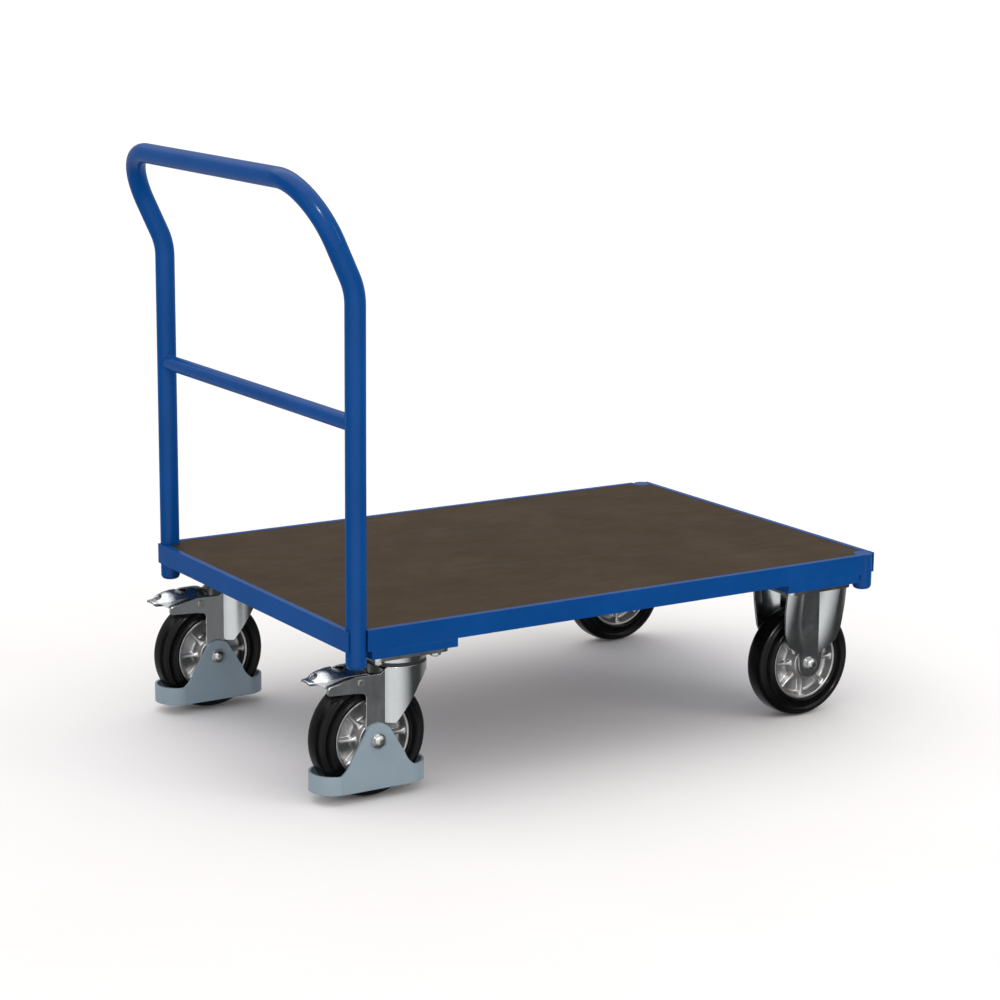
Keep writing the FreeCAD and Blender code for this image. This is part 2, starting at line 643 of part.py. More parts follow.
def axle_masters(name, outside):
    """Axle bolt with a domed hexagon head, and its nut; outside is where the head bears."""
    head = prism(name + "_head", hexagon("axle_across"), "axle_head_high", "XZ_Plane",
                 f"{outside} + axle_washer_high", False)
    washer = new_sketch(head, "XZ_Plane", name + "_flange", outside)
    circle(washer, "0", "0", "axle_washer_radius")
    pad(head, washer, "axle_washer_high + 0.01", name + "_flange_pad")
    shank = new_sketch(head, "XZ_Plane", name + "_shank",
                       f"-({outside}) - axle_washer_high - axle_head_high - axle_tail")
    circle(shank, "0", "0", "axle_radius")
    pad(head, shank, f"2 * ({outside}) + axle_washer_high + axle_head_high + axle_tail + 0.01",
        name + "_shank_pad")
    tip = f"-({outside}) - axle_washer_high - axle_head_high"
    dome = turned(name + "_dome", [
        ("0", tip), ("3.5", tip), ("6", f"{tip} + 0.7"), ("8", f"{tip} + 1.9"),
        ("axle_across / 2", f"{tip} + 3.3"), ("axle_washer_radius + 1", f"{tip} + 4.8"),
        ("axle_washer_radius + 1", "100"), ("0", "100")])
    bolt = common(name + "_bolt", head, dome)
    nut = prism(name + "_nut", hexagon("axle_across"), "axle_head_high", "XZ_Plane",
                f"-({outside}) - axle_washer_high - axle_head_high", False,
                [("0", "0", "axle_radius")])
    flange = new_sketch(nut, "XZ_Plane", name + "_nut_flange", f"-({outside}) - axle_washer_high")
    circle(flange, "0", "0", "axle_washer_radius")
    circle(flange, "0", "0", "axle_radius")
    pad(nut, flange, "axle_washer_high", name + "_nut_flange_pad")
    return bolt, nut


def sleeve_master():
    """The tube round the axle that the bearings turn on."""
    body = new_body("sleeve_master")
    sketch = new_sketch(body, "XZ_Plane", "sleeve_section")
    circle(sketch, "0", "0", "sleeve_radius")
    circle(sketch, "0", "0", "axle_hole_radius")
    pad(body, sketch, "2 * leg_inside", "sleeve_pad", True)
    return body


# Swivel caster ----------------------------------------------------------------------------------

def swivel_plate_master():
    """The top plate with the upper ball ring under it."""
    body = prism("swivel_plate_master", plate_outline(), "plate_thick", "XY_Plane",
                 "mount_z - plate_thick", False, plate_holes() + [("0", "0", "kingpin_radius")])
    ring = new_sketch(body, "XY_Plane", "upper_ring", "ring_bottom_z")
    circle(ring, "0", "0", "ring_radius")
    circle(ring, "0", "0", "ring_inside")
    pad(body, ring, "mount_z - plate_thick - ring_bottom_z + 0.01", "upper_ring_pad")
    return body


def swivel_wall():
    """The fork's upright wall from above: a round drum with two straight cheeks to the rear."""
    outer_y = "leg_inside + leg_thick"
    outer_x = f"sqrt(drum_radius^2 - ({outer_y})^2)"
    inner_r = "drum_radius - leg_thick"
    inner_x = f"sqrt(({inner_r})^2 - leg_inside^2)"
    rear = "-160"
    body = new_body("swivel_wall")
    sketch = new_sketch(body, "XY_Plane", "swivel_wall_plan", "60")
    outline(sketch, [
        (rear, f"-({outer_y})"), (f"-({outer_x})", f"-({outer_y})", "drum_radius", OUT),
        ("0", "-drum_radius", "drum_radius", OUT), ("drum_radius", "0", "drum_radius", OUT),
        ("0", "drum_radius", "drum_radius", OUT), (f"-({outer_x})", outer_y), (rear, outer_y),
        (rear, "leg_inside"), (f"-({inner_x})", "leg_inside", inner_r, IN),
        ("0", inner_r, inner_r, IN), (inner_r, "0", inner_r, IN), ("0", f"-({inner_r})", inner_r, IN),
        (f"-({inner_x})", "-leg_inside"), (rear, "-leg_inside")])
    pad(body, sketch, "crown_top_z - 60", "swivel_wall_pad")
    return body


def swivel_side():
    """The fork from the side: crown, brake arms over the tyre, and the legs down to the axle."""
    axle_z = "wheel_radius"
    end = "leg_end_radius"
    corners = [
        ("drum_radius + 1", "209"), ("drum_radius + 1", "crown_top_z + 1"),
        ("-34", "crown_top_z + 1"), ("-40", "214"), ("-47", "209.5"), ("-90", "210.5"),
        ("-136", "199.5", "7.5", OUT), ("-138", "185.5"), ("-92", "183.2"), ("-80", "181.5", "8.5", IN),
        (f"-trail - {end}", "173"), (f"-trail - {end}", axle_z, end, OUT),
        ("-trail", f"{axle_z} - {end}"), ("-38", f"{axle_z} - {end} + 6"),
        ("-38", "127"), ("-23", "127"), ("19", "188"), ("34", "203"),
    ]
    return prism("swivel_side", corners, "4 * drum_radius")


def swivel_fork_master():
    """The pressed swivel fork with its crown plate and holes."""
    crown = cylinder("swivel_crown", "drum_radius - leg_thick / 2", "crown_thick", "0", "0",
                     "crown_top_z - crown_thick")
    wall = fuse("swivel_walls", [swivel_wall(), crown])
    shape = common("swivel_fork_shape", wall, swivel_side())
    tools = [
        cylinder("fork_kingpin_hole", "kingpin_hole_radius", "3 * crown_thick", "0", "0",
                 "crown_top_z - 2 * crown_thick"),
        cylinder("fork_axle_hole", "axle_hole_radius", "4 * drum_radius", "-trail",
                 "-2 * drum_radius", "wheel_radius", "y"),
        cylinder("fork_pin_hole", "brake_pin_radius + 0.03", "4 * drum_radius", "brake_pin_x",
                 "-2 * drum_radius", "brake_pin_z", "y"),
    ]
    return cut("swivel_fork_master", shape, tools)


def kingpin_masters():
    """The kingpin through the plate and crown, and its nut under the crown."""
    foot = "crown_top_z - crown_thick - kingpin_nut_high - 3"
    pin = turned("kingpin_master", [
        ("0", foot), ("kingpin_radius - 1", foot), ("kingpin_radius", f"{foot} + 1"),
        ("kingpin_radius", "mount_z"), ("kingpin_head_radius", "mount_z"),
        ("kingpin_head_radius", "mount_z + kingpin_head_high - 2"),
        ("kingpin_head_radius - 2", "mount_z + kingpin_head_high"),
        ("0", "mount_z + kingpin_head_high")], "XZ_Plane")
    nut = prism("kingpin_nut_master", hexagon("kingpin_nut_across"), "kingpin_nut_high", "XY_Plane",
                "crown_top_z - crown_thick - kingpin_nut_high - 0.1", False,
                [("0", "0", "kingpin_radius")])
    return pin, nut


def seal_master():
    """The ring that keeps dirt out of the ball race, carried by the fork's crown."""
    body = new_body("seal_master")
    sketch = new_sketch(body, "XY_Plane", "seal_plan", "crown_top_z")
    circle(sketch, "0", "0", "ring_radius")
    circle(sketch, "0", "0", "seal_inside")
    pad(body, sketch, "seal_high", "seal_pad")
    return body


def guard_master():
    """The foot guard: a cheek plate each side and a band that rounds the front and rear."""
    inner = "leg_inside + leg_thick"
    outer = f"{inner} + guard_thick"
    turn_x = f"guard_reach - ({outer})"
    turn_in = f"guard_reach - guard_thick - ({inner})"
    body = new_body("guard_master")
    band = new_sketch(body, "XY_Plane", "guard_band", "guard_bottom_z")
    outline(band, [
        (f"-({turn_x})", f"-({outer})"), (turn_x, f"-({outer})", outer, OUT),
        ("guard_reach", "0", outer, OUT), (turn_x, outer), (f"-({turn_x})", outer, outer, OUT),
        ("-guard_reach", "0", outer, OUT)])
    outline(band, [
        (f"-({turn_in})", f"-({inner})"), (turn_in, f"-({inner})", inner, OUT),
        ("guard_reach - guard_thick", "0", inner, OUT), (turn_in, inner),
        (f"-({turn_in})", inner, inner, OUT), ("guard_thick - guard_reach", "0", inner, OUT)])
    pad(body, band, "guard_band_z - guard_bottom_z", "guard_band_pad")
    top = "wheel_radius + 2"
    radius = "guard_crown_radius"
    for name, offset in (("right", inner), ("left", f"-({outer})")):
        cheek = new_sketch(body, "XZ_Plane", f"guard_cheek_{name}", offset)
        outline(cheek, [
            ("-66", "guard_bottom_z + 1"), ("66", "guard_bottom_z + 1"), ("66", "guard_band_z"),
            ("68", "guard_band_z", "guard_fillet", IN), ("49", "74"), ("24", f"{top} + 12", radius, OUT),
            ("0", f"{top} + {radius}", radius, OUT), ("-24", f"{top} + 12"),
            ("-49", "74", "guard_fillet", IN), ("-68", "guard_band_z"), ("-66", "guard_band_z")])
        circle(cheek, "0", "wheel_radius", "axle_hole_radius")
        pad(body, cheek, "guard_thick", f"guard_cheek_{name}_pad")
    return body


def pedal_shell(name, inset, lower):
    """A solid pedal, its side, plan and arch moved in by the inset, above a lower outline."""
    top = f"pedal_top_z - {inset}"
    tip = f"pedal_tip_x + {inset}"
    half = f"pedal_half - {inset}"
    nose = f"13 - {inset}"
    taper = f"22 - {inset}"
    radius = f"pedal_arch_radius - {inset}"
    shoulder_z = f"{top} - ({radius}) + sqrt(({radius})^2 - ({half})^2)"
    side = prism(name + "_side", [
        ("-57", f"212 - {inset}"), ("-67", f"{top} - 1.5"), ("-80", top), ("-113", top),
        ("-131", f"{top} - 4"), ("-150", f"{top} - 9.5"), (tip, f"208 - {inset}")] + lower, "200")
    plan = prism(name + "_plan", [
        ("-50", f"-({half})"), ("-50", half), ("-132", half), ("-152", taper), (tip, nose),
        (tip, f"-({nose})"), ("-152", f"-({taper})"), ("-132", f"-({half})")], "300", "XY_Plane",
        "0", False)
    arch = prism(name + "_arch", [
        (f"-({half})", "150"), (half, "150"), (half, shoulder_z, radius, OUT),
        ("0", top, radius, OUT), (f"-({half})", shoulder_z)], "400", "YZ_Plane")
    return common(name, common(name + "_outline", side, plan), arch)


def pedal_master():
    """The stamped brake pedal: an arched sheet with turned-down sides, a window and a slot."""
    outside = pedal_shell("pedal_outside", "0", [
        ("pedal_tip_x", "199"), ("-144", "196.5"), ("-128", "190"), ("-114", "190"), ("-98", "197"),
        ("-90", "191.5"), ("-76", "191.5"), ("-66", "200"), ("-57", "205")])
    inside = pedal_shell("pedal_inside", "pedal_sheet", [
        ("-128", "170"), ("-57", "170")])
    slot = box("pedal_slot", "14", "16", "60", "-156", "-8", "170")
    window = prism("pedal_window", [
        ("-116", "-11"), ("-103", "-11", "11", OUT), ("-92", "0", "11", OUT), ("-103", "11"),
        ("-116", "11", "11", OUT), ("-127", "0", "11", OUT)], "60", "XY_Plane", "170", False)
    hole = cylinder("pedal_pin_hole", "brake_pin_radius + 0.06", "4 * pedal_half", "brake_pin_x",
                    "-2 * pedal_half", "brake_pin_z", "y")
    return cut("pedal_master", outside, [inside, slot, window, hole])


def brake_shoe_master():
    """The block under the pedal whose face follows the tyre."""
    reach = "wheel_radius + shoe_gap"
    rear = "-116"
    front = "-98"
    rear_z = f"wheel_radius + sqrt(({reach})^2 - ({rear} + trail)^2)"
    front_z = f"wheel_radius + sqrt(({reach})^2 - ({front} + trail)^2)"
    # the flat top meets the arch of the pedal at the shoe's half width
    arch = "pedal_arch_radius - pedal_sheet"
    top = f"pedal_top_z - pedal_sheet - ({arch}) + sqrt(({arch})^2 - shoe_half^2) - 0.01"
    return prism("shoe_master", [
        (rear, rear_z, reach, IN), (front, front_z), (front, top), (rear, top)],
        "2 * shoe_half")


def brake_rivet_master():
    """One of the two short rivets that the pedal turns on, its head outside the fork's right arm."""
    half = "leg_inside + leg_thick"
    rivet = new_body("brake_rivet_master")
    shank = new_sketch(rivet, "XZ_Plane", "brake_rivet_shank", "pedal_half - pedal_sheet - 1")
    circle(shank, "0", "0", "brake_pin_radius")
    pad(rivet, shank, f"{half} - pedal_half + pedal_sheet + 1.01", "brake_rivet_shank_pad")
    head = new_sketch(rivet, "XZ_Plane", "brake_rivet_head", half)
    circle(head, "0", "0", "pin_head_radius")
    pad(rivet, head, "pin_head_high", "brake_rivet_head_pad")
    return rivet


# Fixed caster -----------------------------------------------------------------------------------

def fixed_leg_section(body, name, z, crest_y, bulge, drop):
    """One level of a fixed caster's leg from above: a flat groove between two rounded wings."""
    far = "fixed_flare_x + 2"
    crest = "fixed_crest_x"
    groove = "fixed_groove"
    far_y = f"({crest_y}) - {drop}"
    thick = "leg_thick"
    sketch = new_sketch(body, "XY_Plane", name, z)
    outline(sketch, [
        (f"-({far})", f"{far_y} - {thick}", bulge, IN),
        (f"-{crest}", f"({crest_y}) - {thick}", bulge, IN), (f"-{groove}", "leg_inside"),
        (groove, "leg_inside", bulge, IN), (crest, f"({crest_y}) - {thick}", bulge, IN),
        (far, f"{far_y} - {thick}"), (far, far_y, bulge, OUT), (crest, crest_y, bulge, OUT),
        (groove, f"leg_inside + {thick}"), (f"-{groove}", f"leg_inside + {thick}", bulge, OUT),
        (f"-{crest}", crest_y, bulge, OUT), (f"-({far})", far_y)])
    return sketch


def fixed_leg():
    """A leg lofted from the flat end at the axle to the flared top under the plate."""
    body = new_body("fixed_leg")
    low = fixed_leg_section(body, "fixed_leg_low", "fixed_blend_z", "leg_inside + leg_thick + 0.6",
                            "300", "0.4")
    high = fixed_leg_section(body, "fixed_leg_high", "mount_z - plate_thick", "fixed_flare_y", "40",
                             "8")
    loft = body.newObject("PartDesign::AdditiveLoft", "fixed_leg_loft")
    loft.Profile = low
    loft.Sections = [high]
    loft.Ruled = True
    body.Tip = loft
    return body


def fixed_fork_master():
    """The pressed fixed fork with its plate, open to the front and rear."""
    end = "fixed_end_radius"
    axle_z = "wheel_radius"
    side = prism("fixed_side", [
        ("66", "mount_z"), ("-66", "mount_z"), ("-66", "205"), ("-62", "162"), ("-53", "139"),
        ("-27", "122"), (f"-{end}", axle_z, end, OUT), ("0", f"{axle_z} - {end}", end, OUT),
        (end, axle_z), ("27", "122"), ("53", "139"), ("62", "162"), ("66", "205")], "200")
    plate = prism("fixed_plate", plate_outline(), "plate_thick", "XY_Plane", "mount_z - plate_thick",
                  False)
    leg = fixed_leg()
    flat = box("fixed_leg_flat", "120", "leg_thick", "fixed_blend_z - 60", "-60", "leg_inside", "60")
    left = fuse("fixed_left_leg", [leg, flat])
    right = doc.addObject("Part::Mirroring", "fixed_right_leg")
    right.Source = left
    right.Normal = V(0, 1, 0)
    legs = common("fixed_legs", fuse("fixed_leg_pair", [left, right]), side)
    tools = [cylinder("fixed_axle_hole", "axle_hole_radius", "200", "0", "-100", axle_z, "y")]
    for index, (x, y, radius) in enumerate(plate_holes()):
        tools.append(cylinder(f"fixed_bolt_hole{index}", radius, "3 * plate_thick", x, y,
                              "mount_z - 2 * plate_thick"))
    return cut("fixed_fork_master", fuse("fixed_fork_blank", [plate, legs]), tools)


# Assembly ---------------------------------------------------------------------------------------

def place_wheels(masters):
    """Wheel parts of all four casters."""
    tyre, rim, bearing, sleeve = masters
    half = dim("hub_width") / 2 - dim("bearing_width") / 2
    for end, side, x, sign in CASTERS:
        axle_x = x - dim("trail") if end == "rear" else x
        y = sign * CASTER_Y
        z = dim("wheel_radius")
        clone(tyre, f"{end}_{side}_tyre", axle_x, y, z)
        clone(rim, f"{end}_{side}_wheel_rim", axle_x, y, z)
        clone(sleeve, f"{end}_{side}_axle_sleeve", axle_x, y, z)
        pair = [shift(axle_x, y + face * half, z) for face in (-1, 1)]
        label = f"{end}_{side}_wheel_bearings"
        node(group(label, bearing, pair), label)


def place_swivel_casters():
    """Both braked swivel casters under the push bar."""
    plate = swivel_plate_master()
    pin, pin_nut = kingpin_masters()
    head, nut = axle_masters("swivel_axle", "leg_inside + leg_thick + guard_thick")
    fork = swivel_fork_master()
    guard = guard_master()
    pedal = pedal_master()
    shoe = brake_shoe_master()
    rivet = brake_rivet_master()
    seal = seal_master()
    ball = doc.addObject("Part::Sphere", "ball_master")
    ball.setExpression("Radius", formula("ball_radius"))
    count = int(dim("ball_count"))
    pins = [shift(REAR_X, sign * CASTER_Y, 0) for side, sign in SIDES]
    node(group("rear_kingpins", pin, pins), "rear_kingpins")
    node(group("rear_kingpin_nuts", pin_nut, pins), "rear_kingpin_nuts")
    for side, sign in SIDES:
        y = sign * CASTER_Y
        clone(plate, f"rear_{side}_swivel_plate", REAR_X, y)
        clone(fork, f"rear_{side}_swivel_fork", REAR_X, y)
        clone(seal, f"rear_{side}_race_seal", REAR_X, y)
        clone(pedal, f"rear_{side}_brake_pedal", REAR_X, y)
        clone(shoe, f"rear_{side}_brake_shoe", REAR_X, y)
        pivot = shift(REAR_X + dim("brake_pin_x"), y, dim("brake_pin_z"))
        turned_round = FreeCAD.Placement(V(), FreeCAD.Rotation(V(0, 0, 1), 180))
        label = f"rear_{side}_brake_rivets"
        node(group(label, rivet, [pivot, pivot.multiply(turned_round)]), label)
        axle_x = REAR_X - dim("trail")
        clone(guard, f"rear_{side}_foot_guard", axle_x, y)
        clone(head, f"rear_{side}_axle_bolt", axle_x, y, dim("wheel_radius"))
        clone(nut, f"rear_{side}_axle_nut", axle_x, y, dim("wheel_radius"))
        turns = [2 * math.pi * index / count for index in range(count)]
        ring = [shift(REAR_X + dim("ball_ring") * math.cos(turn), y + dim("ball_ring") * math.sin(turn),
                      dim("crown_top_z") + dim("ball_radius")) for turn in turns]
        label = f"rear_{side}_race_balls"
        node(group(label, ball, ring), label)


def place_fixed_casters():
    """Both fixed casters at the front."""
    fork = fixed_fork_master()
    head, nut = axle_masters("fixed_axle", "leg_inside + leg_thick")
    axles = [shift(FRONT_X, sign * CASTER_Y, dim("wheel_radius")) for side, sign in SIDES]
    node(group("front_axle_bolts", head, axles), "front_axle_bolts")
    node(group("front_axle_nuts", nut, axles), "front_axle_nuts")
    for side, sign in SIDES:
        clone(fork, f"front_{side}_fixed_fork", FRONT_X, sign * CASTER_Y)


def write_parts():
    """Check every object, then write every sub-part to its own file."""
    doc.recompute()
    for obj in doc.Objects:
        if "Invalid" in obj.State or "Error" in obj.State:
            raise RuntimeError(f"{obj.Name} did not build: {obj.State}")
    for obj in parts:
        if obj.Shape.isNull() or not obj.Shape.isValid() or not obj.Shape.Solids:
            raise RuntimeError(f"{obj.Label} is not a valid solid")
    os.makedirs("parts", exist_ok=True)
    for obj in parts:
        obj.Shape.exportStep(f"parts/{obj.Label}.step")


make_rails()
make_deck_board()
make_bearer("caster_bearer_rear", REAR_X, True)
make_bearer("caster_bearer_front", FRONT_X, False)
make_deck_brace()
make_corner_tubes()
make_tube_plugs()
make_deck_screws()
make_push_bar()
make_mount_bolts()
place_wheels((*wheel_masters(), sleeve_master()))
place_swivel_casters()
place_fixed_casters()
write_parts()
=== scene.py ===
"""Looks of a platform cart: procedural materials, detailed caster pieces, soft light and the camera."""
import json
import math

import bmesh
import bpy
from mathutils import Matrix, Vector


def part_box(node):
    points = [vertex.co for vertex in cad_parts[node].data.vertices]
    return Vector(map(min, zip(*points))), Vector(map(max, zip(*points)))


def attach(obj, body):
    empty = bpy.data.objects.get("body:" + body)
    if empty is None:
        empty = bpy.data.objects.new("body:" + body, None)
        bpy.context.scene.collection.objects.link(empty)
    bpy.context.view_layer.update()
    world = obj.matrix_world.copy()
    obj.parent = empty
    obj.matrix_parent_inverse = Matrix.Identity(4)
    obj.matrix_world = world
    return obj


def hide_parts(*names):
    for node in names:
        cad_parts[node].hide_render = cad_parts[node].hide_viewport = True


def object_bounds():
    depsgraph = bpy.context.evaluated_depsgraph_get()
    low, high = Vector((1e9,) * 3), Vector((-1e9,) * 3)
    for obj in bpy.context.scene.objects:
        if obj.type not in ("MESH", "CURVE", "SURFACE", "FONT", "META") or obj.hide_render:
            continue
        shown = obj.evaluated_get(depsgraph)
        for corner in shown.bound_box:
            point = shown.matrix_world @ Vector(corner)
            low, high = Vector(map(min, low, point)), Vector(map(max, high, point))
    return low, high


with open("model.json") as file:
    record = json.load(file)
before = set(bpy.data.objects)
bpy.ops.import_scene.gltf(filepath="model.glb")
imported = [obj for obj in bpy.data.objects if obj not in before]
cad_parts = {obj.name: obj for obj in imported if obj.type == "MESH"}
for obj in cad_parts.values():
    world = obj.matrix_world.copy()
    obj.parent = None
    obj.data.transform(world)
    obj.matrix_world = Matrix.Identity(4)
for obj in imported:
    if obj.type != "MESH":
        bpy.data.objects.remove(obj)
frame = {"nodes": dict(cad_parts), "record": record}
cad_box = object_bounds()

MM = 0.001
NODES = frame["nodes"]
SIDES = ("right", "left")
ENDS = ("rear", "front")
RIB_COUNT = 8
WHEEL_SEGMENTS = 128
RIB_STEPS = 12
PEDAL_PIN_X = -81.0
PEDAL_SHEET = 2.4
POST_RADIUS = 16.85
BEAD_THICKNESS = 1.5
CAMERA_YAW = math.radians(32.32)
TOWARDS_CAMERA = (-math.sin(CAMERA_YAW), -math.cos(CAMERA_YAW))


# Materials --------------------------------------------------------------------------------------

class Nodes:
    """A node tree whose nodes are added and linked in short calls."""

    def __init__(self, tree):
        self.tree = tree

    def add(self, kind, inputs=None, **settings):
        """A new node with its settings and its inputs, each a number or another node's output."""
        made = self.tree.nodes.new(kind)
        for key, value in settings.items():
            setattr(made, key, value)
        for key, value in (inputs or {}).items():
            self.feed(made.inputs[key], value)
        return made

    def feed(self, socket, value):
        """Link an output to a socket, or set the socket to a constant."""
        if isinstance(value, bpy.types.NodeSocket):
            self.tree.links.new(value, socket)
        else:
            socket.default_value = value

    def remap(self, value, low, high, to_low=0.0, to_high=1.0):
        """A value moved from one range to another and clamped."""
        return self.add("ShaderNodeMapRange", {
            "Value": value, "From Min": low, "From Max": high, "To Min": to_low,
            "To Max": to_high}).outputs["Result"]

    def math(self, operation, first, second=0.0):
        """One arithmetic step."""
        return self.add("ShaderNodeMath", {0: first, 1: second}, operation=operation).outputs[0]

    def dot(self, first, second):
        """The dot product of two vectors."""
        return self.add("ShaderNodeVectorMath", {0: first, 1: second},
                        operation="DOT_PRODUCT").outputs["Value"]


class Shader(Nodes):
    """A material with one Principled surface."""

    def __init__(self, name):
        self.material = bpy.data.materials.new(name)
        self.material.use_nodes = True
        super().__init__(self.material.node_tree)
        self.surface = self.tree.nodes["Principled BSDF"]
        self.place = self.add("ShaderNodeTexCoord").outputs["Object"]

    def stretched(self, x, y, z):
        """Object coordinates scaled along each axis."""
        return self.add("ShaderNodeMapping", {"Vector": self.place, "Scale": (x, y, z)}).outputs[0]

    def noise(self, scale, detail=3.0, roughness=0.5, where=None):
        """Noise from 0 to 1 at so many cells in a metre."""
        return self.add("ShaderNodeTexNoise", {
            "Vector": where or self.place, "Scale": scale, "Detail": detail,
            "Roughness": roughness}).outputs["Fac"]

    def mix(self, factor, first, second):
        """A blend of two colours."""
        made = self.add("ShaderNodeMix", {0: factor}, data_type="RGBA")
        for socket, value in ((made.inputs[6], first), (made.inputs[7], second)):
            self.feed(socket, value if isinstance(value, bpy.types.NodeSocket) else (*value, 1.0))
        return made.outputs[2]

    def bump(self, height, strength, distance, normal=None):
        """A bumped normal; distance is the height in metres."""
        inputs = {"Height": height, "Strength": strength, "Distance": distance}
        if normal is not None:
            inputs["Normal"] = normal
        return self.add("ShaderNodeBump", inputs).outputs[0]

    def edges(self, radius):
        """A mask that is 1 on sharp edges, and the normal rounded over them."""
        rounded = self.add("ShaderNodeBevel", {"Radius": radius}, samples=6).outputs[0]
        flat = self.add("ShaderNodeNewGeometry").outputs["Normal"]
        return self.remap(self.dot(rounded, flat), 0.98, 0.85), rounded

    def upward(self):
        """How much the surface faces up, from -1 to 1."""
        normal = self.add("ShaderNodeTexCoord").outputs["Normal"]
        return self.add("ShaderNodeSeparateXYZ", {"Vector": normal}).outputs["Z"]

    def finish(self, colour, roughness, normal, metallic=0.0, **constants):
        """Wire the surface up; a constant is named by its socket with spaces as underscores."""
        self.feed(self.surface.inputs["Base Color"], colour)
        self.feed(self.surface.inputs["Roughness"], roughness)
        self.feed(self.surface.inputs["Normal"], normal)
        self.surface.inputs["Metallic"].default_value = metallic
        for name, value in constants.items():
            self.surface.inputs[name.replace("_", " ")].default_value = value
        return self.material


def powder_coat():
    """Blue semi-gloss powder coat: orange peel, slight mottling and rubbed edges."""
    shader = Shader("blue_powder_coat")
    edge, rounded = shader.edges(1.2 * MM)
    mottle = shader.remap(shader.noise(9.0, 4.0), 0.35, 0.65)
    body = shader.mix(mottle, (0.0007, 0.051, 0.212), (0.0011, 0.06, 0.242))
    scuffs = shader.remap(shader.noise(260.0, 5.0, 0.7), 0.55, 0.72)
    worn = shader.math("MULTIPLY", edge, shader.remap(scuffs, 0.0, 1.0, 0.25, 0.8))
    colour = shader.mix(worn, body, (0.02, 0.1, 0.32))
    peel = shader.noise(520.0, 2.0, 0.4)
    normal = shader.bump(peel, 0.14, 0.1 * MM, rounded)
    roughness = shader.remap(shader.noise(38.0, 4.0), 0.3, 0.7, 0.16, 0.24)
    return shader.finish(colour, roughness, normal, Specular_IOR_Level=0.15)


def plug_plastic():
    """Moulded plug in the frame's blue, a little glossier and finer than the coat."""
    shader = Shader("blue_plug")
    _, rounded = shader.edges(0.8 * MM)
    tone = shader.remap(shader.noise(60.0, 4.0), 0.3, 0.7)
    colour = shader.mix(tone, (0.001, 0.046, 0.19), (0.0016, 0.056, 0.222))
    normal = shader.bump(shader.noise(1400.0, 2.0), 0.15, 0.05 * MM, rounded)
    roughness = shader.remap(tone, 0.0, 1.0, 0.24, 0.34)
    return shader.finish(colour, roughness, normal, Specular_IOR_Level=0.2)


def guard_enamel():
    """Pale blue-grey enamel on the foot guards, dusty, and chipped on sharp edges."""
    shader = Shader("grey_enamel")
    edge, rounded = shader.edges(1.5 * MM)
    mottle = shader.remap(shader.noise(14.0, 5.0, 0.6), 0.3, 0.7)
    body = shader.mix(mottle, (0.225, 0.295, 0.342), (0.266, 0.336, 0.387))
    specks = shader.remap(shader.noise(420.0, 3.0, 0.6), 0.66, 0.74)
    chipped = shader.math("MULTIPLY", edge, specks)
    colour = shader.mix(chipped, body, (0.42, 0.43, 0.43))
    normal = shader.bump(shader.noise(640.0, 2.0, 0.45), 0.2, 0.1 * MM, rounded)
    roughness = shader.remap(shader.noise(50.0, 4.0), 0.3, 0.7, 0.34, 0.48)
    return shader.finish(colour, roughness, normal)


def film_board():
    """Dark brown phenolic film with an embossed mesh, light rub marks, and plies on its edge."""
    shader = Shader("film_faced_board")
    pitch = 2 * math.pi / (3.2 * MM)
    parts = shader.add("ShaderNodeSeparateXYZ", {"Vector": shader.place})
    along = shader.math("ABSOLUTE", shader.math(
        "SINE", shader.math("MULTIPLY", parts.outputs["X"], pitch / 2)))
    across = shader.math("ABSOLUTE", shader.math(
        "SINE", shader.math("MULTIPLY", parts.outputs["Y"], pitch / 2)))
    mesh = shader.math("MINIMUM", shader.remap(along, 0.0, 0.35), shader.remap(across, 0.0, 0.35))
    cloud = shader.remap(shader.noise(5.0, 5.0, 0.6), 0.3, 0.7)
    film = shader.mix(cloud, (0.034, 0.0198, 0.0078), (0.047, 0.0285, 0.0125))
    fibre = shader.remap(shader.noise(60.0, 5.0, 0.65, shader.stretched(0.15, 1.0, 1.0)), 0.5, 0.75)
    film = shader.mix(shader.math("MULTIPLY", fibre, 0.35), film, (0.066, 0.048, 0.032))
    plies = shader.remap(shader.math("SINE", shader.math(
        "MULTIPLY", parts.outputs["Z"], 2 * math.pi / (2.8 * MM))), -0.2, 0.2)
    ply = shader.mix(plies, (0.2, 0.11, 0.05), (0.34, 0.21, 0.11))
    flat = shader.remap(shader.math("ABSOLUTE", shader.upward()), 0.5, 0.7)
    colour = shader.mix(flat, ply, film)
    normal = shader.bump(mesh, 0.25, 0.12 * MM)
    normal = shader.bump(shader.noise(900.0, 3.0), 0.12, 0.06 * MM, normal)
    roughness = shader.remap(shader.noise(16.0, 5.0, 0.65), 0.3, 0.7, 0.42, 0.56)
    return shader.finish(colour, roughness, normal, Specular_IOR_Level=0.06)


def zinc_plate():
    """Bright zinc on pressed steel: soft streaks, faint warm and cool stains, tiny pits, and a painted
    highlight on sharp edges.
    """
    shader = Shader("zinc_plated_steel")
    edge, rounded = shader.edges(1.0 * MM)
    stain = shader.remap(shader.noise(22.0, 5.0, 0.6), 0.3, 0.7)
    streak = shader.remap(shader.noise(90.0, 4.0, 0.6, shader.stretched(1.0, 1.0, 0.18)), 0.3, 0.7)
    colour = shader.mix(stain, (0.48, 0.5, 0.5), (0.56, 0.575, 0.57))
    colour = shader.mix(shader.math("MULTIPLY", streak, 0.3), colour, (0.64, 0.655, 0.655))
    # Painted highlight: sharp edges and bends are painted a lighter zinc.
    colour = shader.mix(edge, colour, (0.82, 0.83, 0.84))
    roughness = shader.remap(shader.math("ADD", stain, streak), 0.3, 1.7, 0.19, 0.29)
    normal = shader.bump(shader.noise(60.0, 2.0, 0.4), 0.06, 0.1 * MM, rounded)
    return shader.finish(colour, roughness, normal, 1.0)


